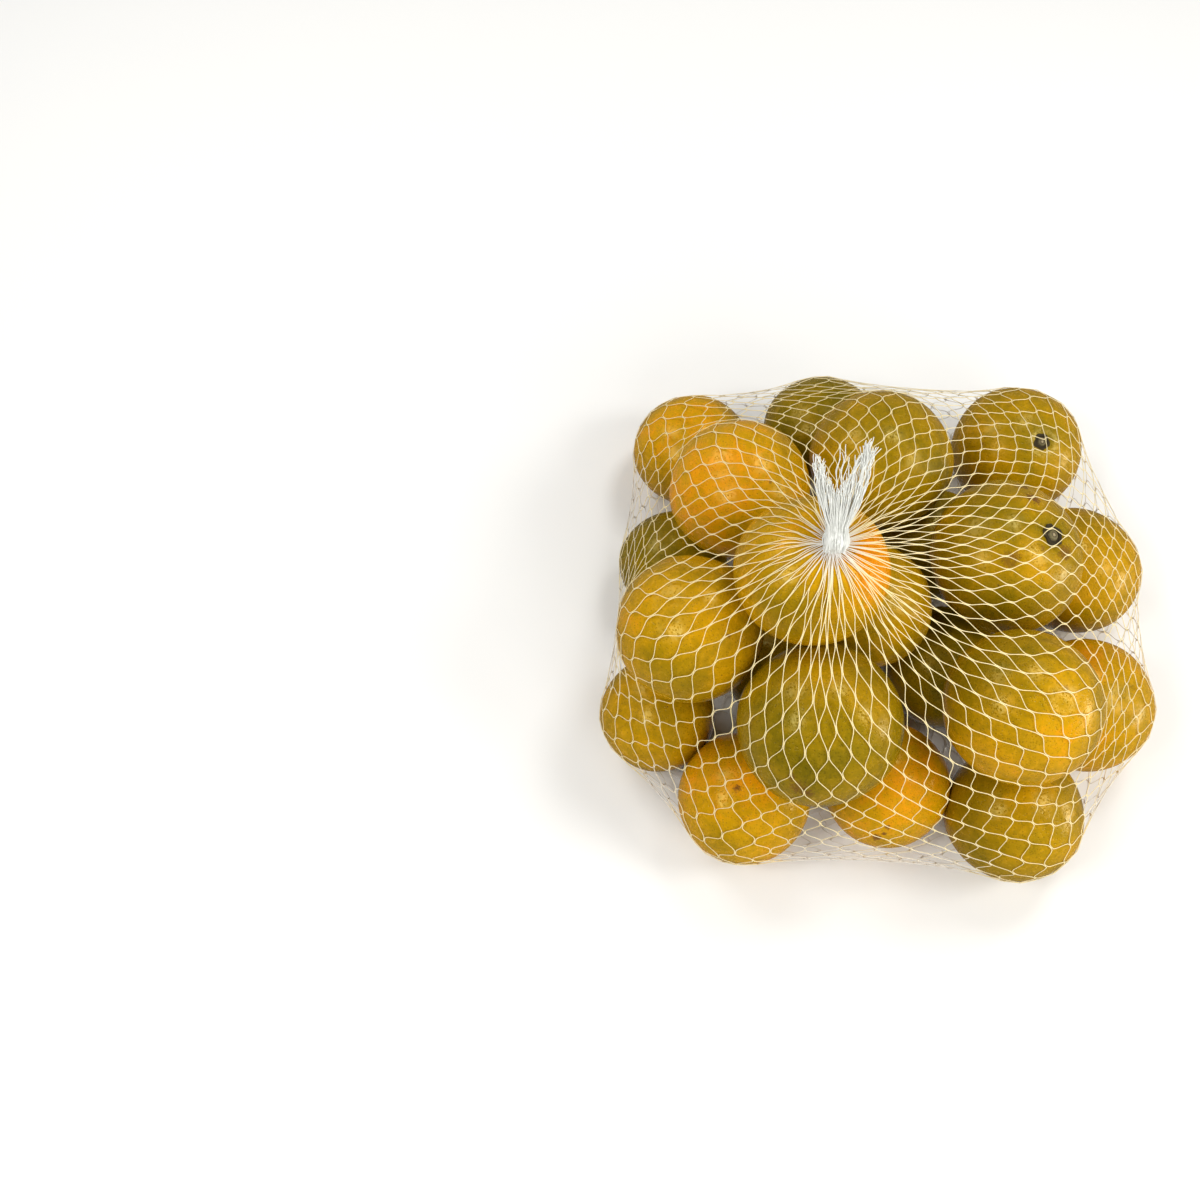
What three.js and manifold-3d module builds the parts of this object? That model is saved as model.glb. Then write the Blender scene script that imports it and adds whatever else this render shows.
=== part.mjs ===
// A net of oranges, standing in a heap with its knot on top: the filled net, the knot and
// the tail. Millimetres, +Z up, origin under the middle of the heap, front towards -Y.

import * as THREE from 'three';
import { mergeVertices } from 'three/addons/utils/BufferGeometryUtils.js';
import { ConvexGeometry } from 'three/addons/geometries/ConvexGeometry.js';
import Module from 'manifold-3d';

const wasm = await Module();
wasm.setup();

// Driving dimensions. Each fruit: centre x, y, z, width across, height over width,
// then how far its stem leans from upright and the direction it leans to, in degrees.
const FRUIT_THAT_SHOWS = [
  // on the floor, round the outside, from the back left clockwise
  [-83, 86, 28, 57, 0.90, 20, 120],
  [-17, 97, 28, 57, 0.90, 15, 80],
  [78, 85, 29, 62, 0.90, 31, -24],
  [98, 20, 29, 60, 0.92, 25, 10],
  [93, -47, 29, 60, 0.92, 20, -30],
  [52, -95, 29, 60, 0.92, 25, -40],
  [1, -84, 28, 56, 0.92, 30, -60],
  [-64, -89, 28, 58, 0.92, 15, -108],
  [-101, -49, 27, 53, 0.92, 30, 190],
  [-92, 26, 27, 52, 0.90, 10, 150],
  // on the floor, in the middle, seen in the cleft on the right
  [29, -27, 28, 57, 0.90, 10, 0],
  // the second layer
  [-66, 43, 70, 64, 0.88, 25, 200],
  [1, 59, 68, 66, 0.88, 20, 60],
  [50, 9, 71, 68, 0.88, 34, -10],
  [47, -64, 73, 65, 0.92, 20, -60],
  [-39, -71, 75, 68, 0.94, 20, -90],
  [-89, -28, 74, 64, 0.92, 25, 180],
  [-8, -11, 60, 57, 0.92, 20, -30],
  // on top, under the knot
  [-45, -16, 113, 63, 0.86, 12, 100],
];
const FRUIT_THAT_IS_HIDDEN = [
  // on the floor, holding up the ones above
  [-44, -28, 28, 52, 0.92, 0, 0],
  [-36, 36, 28, 52, 0.92, 0, 0],
  [31, 34, 28, 55, 0.92, 0, 0],
];
const FRUIT_DETAIL = 4;
const NET_BALL_DETAIL = 1;

// How the heap settles: small steps that fade out.
const SETTLE_STEPS = 300;
const DROP_PER_STEP = 0.12;
const PULL_TO_PLACE = 0.08;
const SQUEEZE = 1.0;
const FLOOR_FLAT_DEPTH = 0.6;

// The net spans every three fruit that lie near each other. It is tight round the floor
// layer, sinks between the fruit above, and rises to the knot as a tent.
const FLOOR_LAYER_TOP = 40;
const FLOOR_SPAN = 118;
const FLOOR_SAG = 9;
const STEP_SPAN = 70;
const UPPER_SPAN = 74;
const UPPER_SAG = 18;
const NECK_RADIUS = 3;
const UNDER_FLOOR_SIZE = [400, 400, 40];

const KNOT_CENTRE = new THREE.Vector3(-39, -17, 141.6);
const KNOT_SIZE = [11, 10.4, 9.4];
const KNOT_FACETS = [20, 12];
const GAP = 0.3;

const TAIL_RISE = THREE.MathUtils.degToRad(32);
const TAIL_HEADING = THREE.MathUtils.degToRad(86);
const TAIL_NECK_RADIUS = 3.6;
const TAIL_NECK_LENGTH = 8;
const TAIL_LOCK_LENGTHS = [27, 29, 31, 25, 31, 24, 29, 33, 34, 31];
const TAIL_SPREAD = THREE.MathUtils.degToRad(44);
const TAIL_LOCK_RADII = [3.0, 0.8];
const TAIL_LOCK_START = 1.3;

const ORANGE_SKIN = new THREE.MeshStandardMaterial({ color: 0xc08f1c, roughness: 0.5, metalness: 0 });
const NET_WHITE = new THREE.MeshStandardMaterial({ color: 0xf2f0e8, roughness: 0.45, metalness: 0 });

// ---- The fruit ----

function makeFruit([x, y, z, across, flatness, lean, toward]) {
  const leanAngle = THREE.MathUtils.degToRad(lean);
  const towardAngle = THREE.MathUtils.degToRad(toward);
  return {
    centre: new THREE.Vector3(x, y, z),
    place: new THREE.Vector3(x, y, z),
    equator: across / 2,
    pole: (across / 2) * flatness,
    stem: new THREE.Vector3(
      Math.sin(leanAngle) * Math.cos(towardAngle),
      Math.sin(leanAngle) * Math.sin(towardAngle),
      Math.cos(leanAngle)),
  };
}

// Distance from a fruit's centre to its skin in a given direction.
function skinRadius(fruit, direction) {
  const along = direction.dot(fruit.stem);
  return 1 / Math.sqrt((1 - along * along) / fruit.equator ** 2 + (along * along) / fruit.pole ** 2);
}

// How high a fruit's centre is when it stands on the floor.
function standingHeight(fruit) {
  const upright = fruit.stem.z;
  return Math.sqrt(fruit.equator ** 2 * (1 - upright * upright) + fruit.pole ** 2 * upright * upright);
}

function pushApart(one, other) {
  const across = other.centre.clone().sub(one.centre);
  const distance = across.length();
  across.divideScalar(distance);
  const need = skinRadius(one, across) + skinRadius(other, across) - SQUEEZE;
  if (distance >= need) return;
  const push = (need - distance) / 2;
  one.centre.addScaledVector(across, -push);
  other.centre.addScaledVector(across, push);
}

function settle(heap) {
  for (let step = 0; step < SETTLE_STEPS; step++) {
    const fade = 1 - step / SETTLE_STEPS;
    for (const fruit of heap) {
      fruit.centre.z -= DROP_PER_STEP * fade;
      fruit.centre.x += PULL_TO_PLACE * fade * (fruit.place.x - fruit.centre.x);
      fruit.centre.y += PULL_TO_PLACE * fade * (fruit.place.y - fruit.centre.y);
    }
    for (let i = 0; i < heap.length; i++) {
      for (let j = i + 1; j < heap.length; j++) pushApart(heap[i], heap[j]);
    }
    for (const fruit of heap) {
      fruit.centre.z = Math.max(fruit.centre.z, standingHeight(fruit) - FLOOR_FLAT_DEPTH);
    }
  }
}

// A fruit's skin, drawn in by an inset.
function fruitGeometry(fruit, detail, inset) {
  const geometry = new THREE.IcosahedronGeometry(1, detail);
  geometry.scale(fruit.equator - inset, fruit.equator - inset, fruit.pole - inset);
  const upright = new THREE.Vector3(0, 0, 1);
  geometry.applyQuaternion(new THREE.Quaternion().setFromUnitVectors(upright, fruit.stem));
  return geometry.translate(...fruit.centre);
}

// ---- The net round the fruit ----

function cornersOf(geometry) {
  const { position } = geometry.attributes;
  const corners = [];
  for (let i = 0; i < position.count; i++) corners.push(new THREE.Vector3().fromBufferAttribute(position, i));
  return corners;
}

// How far apart the middles of two fruit may be for the net to span them.
function spanOf(one, other) {
  if (one.onFloor && other.onFloor) return FLOOR_SPAN;
  return one.onFloor || other.onFloor ? STEP_SPAN : UPPER_SPAN;
}

const areNear = (one, other) => one.centre.distanceTo(other.centre) < spanOf(one, other);

function spansOverThrees(balls) {
  const skins = [];
  for (let i = 0; i < balls.length; i++) {
    for (let j = i + 1; j < balls.length; j++) {
      if (!areNear(balls[i], balls[j])) continue;
      for (let k = j + 1; k < balls.length; k++) {
        if (!areNear(balls[i], balls[k]) || !areNear(balls[j], balls[k])) continue;
        skins.push(new ConvexGeometry([...balls[i].corners, ...balls[j].corners, ...balls[k].corners]));
      }
    }
  }
  return skins;
}

function neckGeometry(topBall) {
  const drop = KNOT_SIZE[2] / 2 + GAP + NECK_RADIUS;
  const neckEnd = new THREE.IcosahedronGeometry(NECK_RADIUS, NET_BALL_DETAIL);
  neckEnd.translate(KNOT_CENTRE.x, KNOT_CENTRE.y, KNOT_CENTRE.z - drop);
  return new ConvexGeometry([...topBall.corners, ...cornersOf(neckEnd)]);
}

function netGeometries(heap, topFruit) {
  const balls = heap.map((fruit) => {
    const onFloor = fruit.centre.z < FLOOR_LAYER_TOP;
    const corners = cornersOf(fruitGeometry(fruit, NET_BALL_DETAIL, onFloor ? FLOOR_SAG : UPPER_SAG));
    return { centre: fruit.centre, onFloor, corners };
  });
  return [neckGeometry(balls[heap.indexOf(topFruit)]), ...spansOverThrees(balls)];
}

// ---- Joining and cutting closed shapes ----

function solidOf(geometry) {
  const bare = geometry.clone();
  bare.deleteAttribute('normal');
  bare.deleteAttribute('uv');
  const merged = mergeVertices(bare, 1e-4);
  return new wasm.Manifold(new wasm.Mesh({
    numProp: 3,
    vertProperties: new Float32Array(merged.attributes.position.array),
    triVerts: new Uint32Array(merged.index.array),
  }));
}

function geometryOf(solid) {
  const mesh = solid.getMesh();
  const geometry = new THREE.BufferGeometry();
  geometry.setAttribute('position', new THREE.Float32BufferAttribute(mesh.vertProperties, 3));
  geometry.setIndex([...mesh.triVerts]);
  geometry.computeVertexNormals();
  return geometry;
}

const joined = (geometries) => geometries.map(solidOf).reduce((whole, next) => whole.add(next));

function makeFilledNet() {
  const showing = FRUIT_THAT_SHOWS.map(makeFruit);
  const heap = [...showing, ...FRUIT_THAT_IS_HIDDEN.map(makeFruit)];
  settle(heap);
  const skins = showing.map((fruit) => fruitGeometry(fruit, FRUIT_DETAIL, 0));
  const topFruit = showing.at(-1);
  const filled = joined([...netGeometries(heap, topFruit), ...skins]);
  const underFloor = new THREE.BoxGeometry(...UNDER_FLOOR_SIZE).translate(0, 0, -UNDER_FLOOR_SIZE[2] / 2);
  const mesh = new THREE.Mesh(geometryOf(filled.subtract(solidOf(underFloor))), ORANGE_SKIN);
  mesh.name = 'filled_net';
  return mesh;
}

// ---- The knot and the tail of loose net above it ----

function makeKnot() {
  const geometry = new THREE.SphereGeometry(0.5, ...KNOT_FACETS);
  geometry.scale(...KNOT_SIZE);
  const mesh = new THREE.Mesh(geometryOf(solidOf(geometry)), NET_WHITE);
  mesh.name = 'knot';
  mesh.position.copy(KNOT_CENTRE);
  return mesh;
}

// One lock of strands: a tapered stick from the tail's root, leaning sideways in the fan.
function tailLock(length, sideways) {
  const [thick, thin] = TAIL_LOCK_RADII;
  const geometry = new THREE.CylinderGeometry(thin, thick, length, 6).translate(0, length / 2, 0);
  return geometry.rotateZ(-sideways).translate(0, TAIL_LOCK_START, 0);
}

function makeTail() {
  const count = TAIL_LOCK_LENGTHS.length;
  const locks = TAIL_LOCK_LENGTHS.map((length, i) => tailLock(length, TAIL_SPREAD * (i / (count - 1) - 0.5)));
  const neck = new THREE.CylinderGeometry(TAIL_NECK_RADIUS, TAIL_NECK_RADIUS, TAIL_NECK_LENGTH, 12);
  neck.translate(0, TAIL_NECK_LENGTH / 2, 0);
  const mesh = new THREE.Mesh(geometryOf(joined([neck, ...locks])), NET_WHITE);
  mesh.name = 'tail';

  const heading = new THREE.Vector3(
    Math.cos(TAIL_HEADING) * Math.cos(TAIL_RISE),
    Math.sin(TAIL_HEADING) * Math.cos(TAIL_RISE),
    Math.sin(TAIL_RISE));
  const side = new THREE.Vector3(Math.sin(TAIL_HEADING), -Math.cos(TAIL_HEADING), 0);
  const face = new THREE.Vector3().crossVectors(side, heading);
  mesh.quaternion.setFromRotationMatrix(new THREE.Matrix4().makeBasis(side, heading, face));
  const knotReach = KNOT_SIZE[1] / 2 + GAP;
  mesh.position.copy(KNOT_CENTRE).addScaledVector(heading, knotReach);
  return mesh;
}

const netOfOranges = new THREE.Group();
netOfOranges.name = 'net_of_oranges';
netOfOranges.add(makeFilledNet(), makeKnot(), makeTail());

export default netOfOranges;
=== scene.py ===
# A net of oranges, standing in a heap with its knot on top. Metres, +Z up, front towards -Y.

import math
import random

import bpy
import numpy as np
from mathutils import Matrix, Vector


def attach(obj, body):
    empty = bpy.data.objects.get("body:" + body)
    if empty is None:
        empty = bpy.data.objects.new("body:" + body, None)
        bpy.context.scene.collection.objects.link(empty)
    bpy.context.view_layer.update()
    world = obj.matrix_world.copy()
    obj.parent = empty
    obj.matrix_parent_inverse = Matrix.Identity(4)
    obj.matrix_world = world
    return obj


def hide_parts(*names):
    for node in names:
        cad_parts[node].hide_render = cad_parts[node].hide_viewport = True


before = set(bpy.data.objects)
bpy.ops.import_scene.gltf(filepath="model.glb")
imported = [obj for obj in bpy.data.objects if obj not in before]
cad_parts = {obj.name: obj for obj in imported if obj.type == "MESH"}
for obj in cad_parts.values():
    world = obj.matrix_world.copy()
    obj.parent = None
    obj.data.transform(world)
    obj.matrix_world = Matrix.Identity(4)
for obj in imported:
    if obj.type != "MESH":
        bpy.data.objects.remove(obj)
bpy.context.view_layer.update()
bpy.ops.object.select_all(action="DESELECT")

MM = 0.001


# ---- The studio ----
# A plain pale sheet to stand the net on, soft light from high windows, and a camera that looks
# down on the heap from the front, off to its left.

bpy.ops.mesh.primitive_plane_add(size=6)
table = bpy.context.object
table.name = "table"
paper = bpy.data.materials.new("pale_paper")
paper.use_nodes = True
paper.node_tree.nodes["Principled BSDF"].inputs["Base Color"].default_value = (0.88, 0.88, 0.87, 1)
paper.node_tree.nodes["Principled BSDF"].inputs["Roughness"].default_value = 0.9
table.data.materials.append(paper)
# The pale sheet would lie as a grey veil on the glossy rims of the fruit.
table.visible_glossy = False

world = bpy.data.worlds.new("room")
bpy.context.scene.world = world
world.use_nodes = True
world.node_tree.nodes["Background"].inputs["Color"].default_value = (1.0, 0.99, 0.97, 1)
world.node_tree.nodes["Background"].inputs["Strength"].default_value = 0.17


def add_window(name, place, aim, size, power, colour):
    """One soft rectangular light."""
    bpy.ops.object.light_add(type="AREA", location=place)
    window = bpy.context.object
    window.name = name
    window.data.shape = "RECTANGLE"
    window.data.size, window.data.size_y = size
    window.data.energy = power
    window.data.color = colour
    window.rotation_euler = (Vector(aim) - Vector(place)).to_track_quat("-Z", "Y").to_euler()
    return window


add_window("window_right", (0.69, -0.11, 0.74), (0, 0, 0.05), (0.30, 0.30), 3.3, (1.0, 0.98, 0.95))
add_window("window_low_right", (1.0, -0.23, 0.20), (0, 0, 0.05), (0.30, 0.26), 2.9, (1.0, 0.97, 0.92))
add_window("window_back", (0.25, 0.42, 0.92), (0, 0, 0.05), (0.26, 0.26), 3.0, (1.0, 1.0, 0.98))
add_window("window_left", (-0.60, -0.24, 0.82), (0, 0, 0.05), (0.30, 0.30), 3.4, (1.0, 0.99, 0.97))
add_window("window_back_left", (-0.62, 0.50, 0.74), (0, 0, 0.05), (0.40, 0.40), 2.9, (1.0, 0.99, 0.97))
front_wall = add_window("front_wall", (0.35, -1.15, 0.72), (0, 0, 0.05), (1.3, 0.9), 11.5,
                        (1.0, 0.99, 0.97))
# It lights the fruit without a highlight of its own.
front_wall.visible_glossy = False

EYE = Vector((-0.12846, -0.21052, 0.56002))
bpy.ops.object.camera_add(location=EYE, rotation=(math.radians(22), 0, 0))
camera = bpy.context.object
camera.name = "camera"
camera.data.lens = 36.45
camera.data.sensor_width = 36
bpy.context.scene.camera = camera
bpy.context.scene.view_settings.view_transform = "Standard"


# ---- The oranges ----
# Loose-skinned oranges, no two alike, from olive green to orange. The skin is waxy, full of fine
# oil pores, with a dimple round the stem. They lie where they settled, each on its neighbours.

# Centre x, y, z, width across, height over width, lean of the axis from upright and the way it
# leans in degrees, whether the stem end is the upper one, and how ripe the skin is, from 0,
# green, to 1, orange.
ORANGES = {
    "back_left": (-83, 86, 28, 57, .90, 20, 120, False, .66),
    "back": (-17, 97, 28, 57, .90, 15, 80, False, .30),
    "back_right": (78, 85, 29, 62, .90, 22, -68, True, .52),
    "right_back": (98, 20, 29, 60, .92, 25, 10, False, .55),
    "right_front": (93, -47, 29, 60, .92, 20, -30, False, .70),
    "front_right": (52, -95, 29, 60, .92, 25, -40, False, .52),
    "front": (1, -84, 28, 56, .92, 30, -60, False, .72),
    "front_left": (-64, -89, 28, 58, .92, 15, -108, False, .70),
    "left_front": (-101, -49, 27, 53, .92, 30, 190, False, .58),
    "left_back": (-92, 26, 27, 52, .90, 10, 150, False, .30),
    "inner_right": (29, -27, 28, 57, .90, 10, 0, False, .32),
    "upper_back_left": (-66, 43, 70, 64, .88, 25, 200, False, .74),
    "upper_back": (1, 59, 68, 66, .88, 20, 60, False, .47),
    "upper_right": (50, 9, 71, 68, .88, 24, -8, True, .47),
    "upper_front_right": (47, -64, 73, 65, .92, 20, -60, False, .56),
    "upper_front": (-39, -71, 75, 68, .94, 20, -90, False, .30),
    "upper_left": (-89, -28, 74, 64, .92, 25, 180, False, .60),
    "upper_middle": (-8, -11, 60, 57, .92, 20, -30, False, .55),
    "top": (-45, -16, 113, 63, .86, 12, 100, False, .65),
    "under_left": (-44, -28, 28, 52, .92, 0, 0, False, .45),
    "under_back": (-36, 36, 28, 52, .92, 0, 0, False, .55),
    "under_right": (31, 34, 28, 55, .92, 0, 0, False, .35),
}
SETTLE_STEPS = 300
DROP_PER_STEP = 0.12
PULL_TO_PLACE = 0.08
SQUEEZE = 1.0            # how far two oranges press into each other where they touch
FURTHEST_TOUCH = 75      # no two oranges whose middles lie further apart can touch
FLOOR_FLAT_DEPTH = 0.6
UNDERSIDE = 0.8          # a standing orange's flat, just above the strands that it stands on


class Orange:
    def __init__(self, name, x, y, z, across, flatness, lean, toward, stem_up, ripeness):
        self.name = name
        self.centre = Vector((x, y, z))
        self.place = Vector((x, y, z))
        self.equator = across / 2
        self.pole = across / 2 * flatness
        lean, toward = math.radians(lean), math.radians(toward)
        self.axis = Vector((math.sin(lean) * math.cos(toward), math.sin(lean) * math.sin(toward),
                            math.cos(lean)))
        self.stem = self.axis if stem_up else -self.axis
        self.ripeness = ripeness
        # Its own frame, with +Z at the stem, and the slow waves that make it uneven.
        chance = random.Random(name)
        spin = chance.uniform(0, 2 * math.pi)
        spun = [[math.cos(spin), -math.sin(spin), 0], [math.sin(spin), math.cos(spin), 0], [0, 0, 1]]
        to_stem = Vector((0, 0, 1)).rotation_difference(self.stem).to_matrix()
        self.turn = np.array(to_stem) @ np.array(spun)
        self.radii = np.array([self.equator, self.equator, self.pole])
        self.waves = []
        for strength, bends in ((0.0065, 2.6), (0.0047, 4.2), (0.0024, 7.2)):
            for _ in range(3):
                way = np.array([chance.gauss(0, 1) for _ in range(3)])
                self.waves.append((strength, way * bends / np.linalg.norm(way), chance.uniform(0, 6.28)))

    def lumps(self, directions):
        """How far the skin stands out of a plain round shape, in the orange's own frame."""
        swell = np.ones(len(directions))
        for strength, way, start in self.waves:
            swell += strength * np.sin(directions @ way + start)
        return swell

    def depth_of(self, points):
        """Each point's distance from the middle, as a share of the distance to the skin."""
        own = (points - np.array(self.centre)) @ self.turn / self.radii
        share = np.linalg.norm(own, axis=1)
        return share / self.lumps(own / np.maximum(share, 1e-6)[:, None])

    def reach(self, direction):
        """From the centre to the skin in a direction."""
        along = direction.dot(self.axis) ** 2
        return 1 / math.sqrt((1 - along) / self.equator ** 2 + along / self.pole ** 2)

    def standing_height(self):
        upright = self.axis.z ** 2
        return math.sqrt(self.equator ** 2 * (1 - upright) + self.pole ** 2 * upright)


heap = [Orange(name, *facts) for name, facts in ORANGES.items()]
for step in range(SETTLE_STEPS):
    fade = 1 - step / SETTLE_STEPS
    for orange in heap:
        orange.centre.z -= DROP_PER_STEP * fade
        orange.centre.xy += PULL_TO_PLACE * fade * (orange.place.xy - orange.centre.xy)
    for i, one in enumerate(heap):
        for other in heap[i + 1:]:
            across = other.centre - one.centre
            distance = across.length
            if distance > FURTHEST_TOUCH:
                continue
            across /= distance
            need = one.reach(across) + other.reach(across) - SQUEEZE
            if distance < need:
                one.centre -= across * (need - distance) / 2
                other.centre += across * (need - distance) / 2
    for orange in heap:
        orange.centre.z = max(orange.centre.z, orange.standing_height() - FLOOR_FLAT_DEPTH)

# One orange of unit size is shaped: a dimple round the stem at +Z, a flatter blossom end.
bpy.ops.mesh.primitive_uv_sphere_add(segments=72, ring_count=48, radius=1)
pattern = bpy.context.object
pattern.name = "orange_pattern"
bpy.ops.object.mode_set(mode="EDIT")


def select_points(piece, chosen):
    """Selects a mesh's points by their place, in edit mode."""
    bpy.ops.mesh.select_all(action="DESELECT")
    bpy.ops.object.mode_set(mode="OBJECT")
    for point in piece.data.vertices:
        point.select = chosen(point.co)
    bpy.ops.object.mode_set(mode="EDIT")


STEM_DIMPLE = 0.925      # what is left of the radius at the bottom of the stem's dimple
bpy.ops.mesh.select_mode(type="VERT")
for pole, depth, width in ((1, 0.030, 0.55), (1, 0.045, 0.20), (-1, 0.022, 0.5), (-1, 0.012, 0.14)):
    select_points(pattern, lambda co: co.z * pole > 0 and co.xy.length < 0.05)
    bpy.ops.transform.translate(value=(0, 0, -pole * depth), use_proportional_edit=True,
                                proportional_edit_falloff="SMOOTH", proportional_size=width)
bpy.ops.object.mode_set(mode="OBJECT")
bpy.ops.object.shade_smooth()

# Patches of other ripeness, and some of painted shade and painted light, each as seen from the camera:
# how far right and up of the orange's middle in radii, how wide in radians of its skin, and how much
# riper, or less ripe if negative.
RIPE_SHADE_AND_LIGHT_PATCHES = {
    "back": [(.3, .2, .8, -.06)],
    "back_left": [(-.3, .2, .7, .12)],
    "upper_back_left": [(-.25, .0, .65, .08), (.6, .3, .5, -.08)],
    "upper_back": [(-.6, .1, .6, .10), (.55, .0, .7, -.12)],
    "back_right": [(-.3, -.2, .6, .1), (.6, .4, .5, -.12)],
    # upper_right's last patch is painted shade, on its left in the cleft by the knot.
    "upper_right": [(.5, -.1, .45, .22), (-.2, -.15, .3, .08), (-.1, .5, .5, -.12),
                    (.1, -.6, .5, -.14), (-.6, -.3, .4, -.12)],
    "right_back": [(.4, .0, .6, .12)],
    # right_front's second patch is painted shade on its upper right.
    "right_front": [(-.2, .5, .6, .25), (.5, .25, .5, -.20)],
    "front_right": [(.2, .2, .6, .08), (-.6, -.3, .6, -.16)],
    # upper_front_right's second patch is painted shade on its left, the cleft side.
    "upper_front_right": [(.3, -.5, .8, .20), (-.3, .4, .7, -.22)],
    "front": [(.1, -.2, .6, .1), (.5, -.2, .5, .1)],
    "front_left": [(.0, .3, .6, .12), (-.5, -.5, .5, -.1)],
    # upper_front's last patch is a painted highlight on its right side.
    "upper_front": [(.0, .6, .6, .18), (-.2, -.4, .6, -.08), (.45, .0, .5, .08)],
    "upper_left": [(.0, .2, .6, .12), (-.2, -.6, .6, -.12)],
    "top": [(.85, .1, .5, .55), (-.3, -.5, .6, -.10)],
    "upper_middle": [(.5, -.3, .5, .06)],
}
# Brown marks where a branch or a neighbour rubbed the skin: which orange, how far right and up of
# its middle as seen from the camera, in radii, then how far the mark reaches from its own middle,
# in millimetres, and how dark it is.
MARKS = [("upper_right", .04, -.04, 4.2, .50), ("upper_right", .14, .02, 2.6, .45),
         ("upper_right", .80, .07, 4.4, .65), ("upper_right", .36, .81, 3.9, .85),
         ("upper_right", .20, .94, 3.4, .70), ("upper_right", .50, .12, 1.6, .4),
         ("front", -.17, -.83, 2.8, .85), ("front", .01, -.68, 1.6, .75), ("front", -.05, -.78, 1.3, .8),
         ("front_left", -.10, .14, 2.0, .85), ("upper_front", -.25, -.75, 4.6, .60),
         ("upper_front", -.14, -.82, 2.8, .6), ("upper_front", -.33, -.62, 2.4, .6),
         ("upper_left", .5, -.1, 1.2, .7), ("back_right", -.5, .1, 1.2, .5),
         ("upper_back_left", .45, .1, 1.1, .6), ("upper_front_right", .55, .25, 1.3, .5)]


def seen_from_camera(orange, right, up):
    """The direction from an orange's middle to a spot on it, given as the camera sees it."""
    towards = (EYE - orange.centre * MM).normalized()
    across = (Vector((1, 0, 0)) - towards * towards.x).normalized()
    upward = towards.cross(across)
    depth = math.sqrt(max(0.0, 1 - right * right - up * up))
    return (across * right + upward * up + towards * depth).normalized()


oranges = []
mark_centres = []
for orange in heap:
    pattern.select_set(False)
    piece = pattern.copy()
    piece.data = pattern.data.copy()
    piece.name = piece.data.name = "orange_" + orange.name
    bpy.context.collection.objects.link(piece)

    # Its own size, lumps and turn, then its place in the heap.
    count = len(piece.data.vertices)
    points = np.empty(count * 3)
    piece.data.vertices.foreach_get("co", points)
    points = points.reshape(-1, 3)
    directions = points / np.linalg.norm(points, axis=1, keepdims=True)
    own = points * orange.lumps(directions)[:, None]
    placed = own * orange.radii @ orange.turn.T + np.array(orange.centre)
    placed[:, 2] = np.maximum(placed[:, 2], UNDERSIDE)
    piece.data.vertices.foreach_set("co", (placed * MM).ravel())

    # How ripe the skin is, point by point, with some patches of painted shade and painted light: greener
    # round the stem.
    away = placed - np.array(orange.centre)
    away /= np.linalg.norm(away, axis=1, keepdims=True)
    ripe_shade_and_light = np.full(count, orange.ripeness)
    for right, up, width, change in RIPE_SHADE_AND_LIGHT_PATCHES.get(orange.name, ()):
        near = np.arccos(np.clip(away @ np.array(seen_from_camera(orange, right, up)), -1, 1))
        ripe_shade_and_light += change * np.exp(-(near / width) ** 2)
    round_stem = np.arctan2(directions[:, 1], directions[:, 0])
    halo = 0.27 + 0.07 * np.sin(round_stem + orange.centre.x) + 0.04 * np.sin(3 * round_stem)
    ripe_shade_and_light -= 0.30 * np.exp(-(np.arccos(np.clip(directions[:, 2], -1, 1)) / halo) ** 2)
    piece.data.attributes.new("ripeness", "FLOAT", "POINT").data.foreach_set("value", ripe_shade_and_light)
    for name, right, up, size, strength in MARKS:
        if name == orange.name:
            way = np.array(seen_from_camera(orange, right, up))
            skin_point = placed[np.argmax(away @ way)]
            to_skin = np.linalg.norm(skin_point - np.array(orange.centre))
            spot = np.array(orange.centre) + way * to_skin
            mark_centres.append((spot * MM, size, strength))
    piece.data.update()
    oranges.append(piece)

bpy.data.objects.remove(pattern)

rind = bpy.data.materials.new("orange_rind")
rind.use_nodes = True
nodes, links = rind.node_tree.nodes, rind.node_tree.links
skin = nodes["Principled BSDF"]


def node(kind, **settings):
    """Adds a node to the material in hand, with sockets and settings by name."""
    made = nodes.new(kind)
    for name, value in settings.items():
        if name in made.inputs:
            made.inputs[name].default_value = value
        else:
            setattr(made, name, value)
    return made


def fill_ramp(ramp, stops):
    """Gives a colour ramp its stops, each a place and a colour."""
    for at, _ in stops[1:-1]:
        ramp.elements.new(at)
    for element, (at, colour) in zip(sorted(ramp.elements, key=lambda e: e.position), stops):
        element.position = at
        element.color = (*colour, 1)


place = node("ShaderNodeTexCoord")
ripeness = node("ShaderNodeAttribute", attribute_name="ripeness")

# Ripeness drifts over the skin in soft clouds, patches and fine mottling.
total = ripeness.outputs["Fac"]
for scale, detail, amount in ((38.0, 3.0, 0.14), (120.0, 3.0, 0.08), (420.0, 4.0, 0.08)):
    clouds = node("ShaderNodeTexNoise", Scale=scale, Detail=detail, Roughness=0.58)
    links.new(place.outputs["Object"], clouds.inputs["Vector"])
    drift = node("ShaderNodeMapRange", **{"From Min": 0.28, "From Max": 0.72, "To Min": -amount,
                                          "To Max": amount})
    links.new(clouds.outputs["Fac"], drift.inputs["Value"])
    drifted = node("ShaderNodeMath", operation="ADD")
    links.new(total, drifted.inputs[0])
    links.new(drift.outputs["Result"], drifted.inputs[1])
    total = drifted.outputs["Value"]
RIPENING = [(0.00, (0.090, 0.070, 0.002)), (0.25, (0.21, 0.140, 0.002)), (0.50, (0.345, 0.200, 0.002)),
            (0.72, (0.535, 0.278, 0.002)), (1.00, (0.79, 0.29, 0.003))]
ripening = node("ShaderNodeValToRGB")
fill_ramp(ripening.color_ramp, RIPENING)
links.new(total, ripening.inputs["Fac"])
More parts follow.
